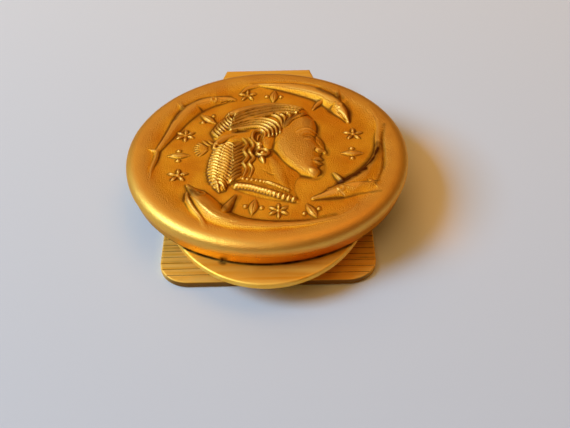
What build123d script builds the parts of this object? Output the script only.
from build123d import *

import math
import os

# Spring money clip with a round medallion soldered to its upper arm. Millimetres.
# +Z is up. The clip lies on its base plate, its jaws open towards -Y and the
# thumb tab points to +Y. The origin is under the middle of the whole length.

# Where the medallion's axis and the hinge's axis are along the clip
coin_y = -1.3
hinge_y = coin_y + 13.0
hinge_z = 1.9

# Base plate: a strip one inch wide
plate_width = 25.4
plate_thickness = 0.8
plate_front = coin_y - 16.7
plate_rear = coin_y + 11.3
plate_corner = 3.5
plate_rear_corner = 5.0
plate_edge_round = 0.2
groove_pitch = 1.0
groove_start = 1.2
groove_width = 0.16
groove_depth = 0.07

# Stem behind the plate, with a lug bent up on each side of it
stem_width = 12.0
stem_rear = coin_y + 17.6
stem_overlap = 2.0
lug_thickness = 0.8
lug_radius = 1.0
lug_clearance = 0.2

# Arm: an elliptical tongue in front that narrows in straight sides to the tab
arm_thickness = 0.8
arm_underside = 3.0
arm_top = arm_underside + arm_thickness
arm_half_width = 12.5
arm_front_length = 16.0
arm_ellipse_y = coin_y - 4.1
tab_width = 12.0
tab_rear = coin_y + 22.7
tab_edge = 0.5
arm_edge_round = 0.25
cheek_thickness = 0.8
cheek_inside = stem_width / 2 + lug_clearance
cheek_outside = cheek_inside + cheek_thickness
cheek_radius = 1.5
cheek_front = coin_y + 10.2
cheek_rear = hinge_y + 2.4
cheek_foot_gap = 0.1
cheek_bend_radius = 0.56
relief_width = 0.4

# Hinge pin, upset at both ends
pin_radius = 0.5
pin_clearance = 0.03
pin_head_radius = 0.95
pin_head_height = 0.35
pin_head_round = 0.28

# Torsion spring round the pin
wire_radius = 0.25
coil_radius = 0.82
coil_turns = 7.5
coil_pitch = 0.6
coil_length = coil_turns * coil_pitch
spring_leg = 3.8

# Medallion stack on top of the arm
coin_radius = 17.5
mount_solder_height = 0.12
mount_solder_radius = 16.6
mount_solder_inset = 0.5
backing_height = 1.3
backing_foot_radius = 17.0
backing_top_radius = 17.25
seam_solder_height = 0.06
seam_solder_radius = 16.9
mount_solder_bottom = arm_top
backing_bottom = mount_solder_bottom + mount_solder_height
seam_solder_bottom = backing_bottom + backing_height
coin_bottom = seam_solder_bottom + seam_solder_height
coin_crest = arm_top + 3.35
crest_radius = 16.2
rim_side_bottom = coin_bottom + 0.35
rim_side_top = coin_bottom + 0.75
rim_inner_radius = 14.2
field_height = coin_crest - 0.3
relief_root = 0.2
relief_dome_radius = 8.5
relief_dome_height = 0.75
ridge_orbit = 12.2
ridge_half_angle = 26
ridge_width = 2.6
ridge_height = 0.4

os.makedirs("parts", exist_ok=True)


# Base plate with grooves across its top and two hinge lugs
with BuildPart() as base_plate:
    with BuildSketch(Plane.XY):
        with Locations((0, (plate_front + plate_rear) / 2)):
            Rectangle(plate_width, plate_rear - plate_front)
        corners = vertices().group_by(Axis.Y)
        fillet(corners[0], plate_corner)
        fillet(vertices().group_by(Axis.Y)[-1], plate_rear_corner)
    extrude(amount=plate_thickness)
    rims = faces().sort_by(Axis.Z)
    fillet(rims[-1].edges() + rims[0].edges(), plate_edge_round)
    with BuildSketch(Plane.XY):
        with Locations((0, (plate_rear - stem_overlap + stem_rear) / 2)):
            Rectangle(stem_width, stem_rear - plate_rear + stem_overlap)
    extrude(amount=plate_thickness)
    for side in (-1, 1):
        lug_plane = Plane.YZ.offset(side * (stem_width - lug_thickness) / 2)
        with BuildSketch(lug_plane):
            with Locations((hinge_y, hinge_z)):
                Circle(lug_radius)
            with Locations((hinge_y, (hinge_z + plate_thickness / 2) / 2)):
                Rectangle(2 * lug_radius, hinge_z - plate_thickness / 2)
        extrude(amount=lug_thickness / 2, both=True)
    with BuildSketch(Plane.YZ):
        with Locations((hinge_y, hinge_z)):
            Circle(pin_radius + pin_clearance)
    extrude(amount=stem_width, both=True, mode=Mode.SUBTRACT)
    groove_count = int((plate_rear - plate_front) / groove_pitch) - 1
    with BuildSketch(Plane.XY.offset(plate_thickness)):
        for i in range(groove_count):
            with Locations((0, plate_front + groove_start + groove_pitch * i)):
                Rectangle(plate_width + 1, groove_width)
    extrude(amount=-groove_depth, mode=Mode.SUBTRACT)
base_plate.part.label = "base_plate"
export_step(base_plate.part, "parts/base_plate.step")


# Arm: tongue, tapering web and thumb tab, with two cheeks bent down for the pin
with BuildPart() as clip_arm:
    with BuildSketch(Plane.XY.offset(arm_underside)):
        with Locations((0, arm_ellipse_y)):
            Ellipse(arm_half_width, arm_front_length)
        with Locations((0, tab_rear - tab_edge / 2)):
            Rectangle(tab_width, tab_edge)
        make_hull()
    extrude(amount=arm_thickness)
    fillet(faces().sort_by(Axis.Z)[-1].edges(), arm_edge_round)
    fillet(faces().sort_by(Axis.Z)[0].edges(), arm_edge_round)
    cheek_middle = (cheek_front + cheek_rear) / 2
    cheek_length = cheek_rear - cheek_front
    trim_width = arm_half_width - cheek_outside
    for side in (-1, 1):
        with BuildSketch(Plane.XY.offset(arm_underside)):
            with Locations((side * (cheek_outside + trim_width / 2), cheek_middle)):
                Rectangle(trim_width, cheek_length + 2 * relief_width)
            with Locations((side * (cheek_inside + cheek_thickness / 2), cheek_middle)):
                Rectangle(cheek_thickness, cheek_length + 2 * relief_width)
        extrude(amount=arm_thickness, mode=Mode.SUBTRACT)
        foot_z = plate_thickness + cheek_foot_gap
        foot_length = plate_rear - cheek_front
        with BuildSketch(Plane.YZ.offset(side * (cheek_inside + cheek_thickness / 2))):
            with BuildLine():
                Polyline(
                    (cheek_front, foot_z),
                    (cheek_front, arm_top),
                    (cheek_rear, arm_top),
                    (cheek_rear, arm_underside),
                    (hinge_y + cheek_radius, hinge_z),
                    (hinge_y, hinge_z),
                    (cheek_front + foot_length, foot_z),
                    close=True,
                )
            make_face()
            with Locations((hinge_y, hinge_z)):
                Circle(cheek_radius)
        extrude(amount=cheek_thickness / 2, both=True)
    bends = (
        edges()
        .filter_by(Axis.Y)
        .filter_by_position(Axis.Z, arm_top - 0.01, arm_top + 0.01)
        .filter_by_position(Axis.Y, cheek_front, cheek_rear)
    )
    outer_bends = [e for e in bends if abs(abs(e.center().X) - cheek_outside) < 0.01]
    fillet(outer_bends, cheek_bend_radius)
    with BuildSketch(Plane.YZ):
        with Locations((hinge_y, hinge_z)):
            Circle(pin_radius)
    extrude(amount=cheek_outside + 1, both=True, mode=Mode.SUBTRACT)
clip_arm.part.label = "clip_arm"
export_step(clip_arm.part, "parts/clip_arm.step")


# Hinge pin with a rounded head at each end, outside the cheeks
with BuildPart() as hinge_pin:
    with BuildSketch(Plane.YZ):
        with Locations((hinge_y, hinge_z)):
            Circle(pin_radius)
    extrude(amount=cheek_outside, both=True)
    for side in (-1, 1):
        with BuildSketch(Plane.YZ.offset(side * cheek_outside)):
            with Locations((hinge_y, hinge_z)):
                Circle(pin_head_radius)
        extrude(amount=side * pin_head_height)
    ends = faces().sort_by(Axis.X)
    fillet(ends[0].edges() + ends[-1].edges(), pin_head_round)
hinge_pin.part.label = "hinge_pin"
export_step(hinge_pin.part, "parts/hinge_pin.step")


# Torsion spring: a coil round the pin, one leg on the plate and one under the tab
coil_start = (-coil_length / 2, hinge_y, hinge_z)
with BuildPart() as torsion_spring:
    with BuildLine() as wire_path:
        coil = Helix(coil_pitch, coil_length, coil_radius, center=coil_start, direction=(1, 0, 0))
        upper_leg = Line(coil @ 0 - coil % 0 * spring_leg, coil @ 0)
        Line(coil @ 1, coil @ 1 + coil % 1 * spring_leg)
    with BuildSketch(Plane(origin=upper_leg @ 0, z_dir=upper_leg % 0)):
        Circle(wire_radius)
    sweep(path=wire_path.wires()[0])
torsion_spring.part.label = "torsion_spring"
export_step(torsion_spring.part, "parts/torsion_spring.step")


def coin_level(height):
    """The horizontal plane at this height, centred on the medallion's axis."""
    return Plane(origin=(0, coin_y, height))


# Solder film between the arm and the backing disc
with BuildPart() as mount_solder:
    with BuildSketch(coin_level(mount_solder_bottom)):
        Circle(mount_solder_radius)
        with Locations((0, arm_ellipse_y - coin_y)):
            Ellipse(
                arm_half_width - mount_solder_inset,
                arm_front_length - mount_solder_inset,
                mode=Mode.INTERSECT,
            )
    extrude(amount=mount_solder_height)
mount_solder.part.label = "mount_solder"
export_step(mount_solder.part, "parts/mount_solder.step")


# Backing disc, which closes the medallion from below
with BuildPart() as backing_disc:
    with BuildSketch(coin_level(backing_bottom)):
        Circle(backing_foot_radius)
    with BuildSketch(coin_level(backing_bottom + backing_height)):
        Circle(backing_top_radius)
    loft()
backing_disc.part.label = "backing_disc"
export_step(backing_disc.part, "parts/backing_disc.step")


# Solder film between the backing disc and the medallion
with BuildPart() as seam_solder:
    with BuildSketch(coin_level(seam_solder_bottom)):
        Circle(seam_solder_radius)
    extrude(amount=seam_solder_height)
seam_solder.part.label = "seam_solder"
export_step(seam_solder.part, "parts/seam_solder.step")


# Medallion: a thick rounded rim, a sunk field, a low dome and four curved ridges
with BuildPart() as medallion:
    with BuildSketch(Plane.XZ.offset(-coin_y)):
        with BuildLine():
            Polyline(
                (0, field_height),
                (0, coin_bottom),
                (backing_top_radius + 0.1, coin_bottom),
                (coin_radius, rim_side_bottom),
                (coin_radius, rim_side_top),
            )
            EllipticalCenterArc(
                (crest_radius, rim_side_top),
                coin_radius - crest_radius,
                coin_crest - rim_side_top,
                start_angle=0,
                arc_size=90,
            )
            Spline(
                (crest_radius, coin_crest),
                (rim_inner_radius, field_height),
                tangents=((-1, 0), (-1, 0)),
            )
            Line((rim_inner_radius, field_height), (0, field_height))
        make_face()
    revolve(axis=Axis((0, coin_y, 0), (0, 0, 1)))
    dome_ball = (relief_dome_radius**2 + relief_dome_height**2) / (2 * relief_dome_height)
    with BuildSketch(Plane.XZ.offset(-coin_y)):
        with BuildLine():
            Polyline(
                (0, field_height + relief_dome_height),
                (0, field_height - relief_root),
                (relief_dome_radius, field_height - relief_root),
                (relief_dome_radius, field_height),
            )
            RadiusArc(
                (relief_dome_radius, field_height),
                (0, field_height + relief_dome_height),
                -dome_ball,
            )
        make_face()
    revolve(axis=Axis((0, coin_y, 0), (0, 0, 1)))
    with BuildSketch(coin_level(field_height - relief_root)):
        with PolarLocations(0, 4):
            SlotArc(
                CenterArc((0, 0), ridge_orbit, -ridge_half_angle, 2 * ridge_half_angle),
                ridge_width,
            )
    extrude(amount=relief_root + ridge_height)
medallion.part.label = "medallion"
export_step(medallion.part, "parts/medallion.step")
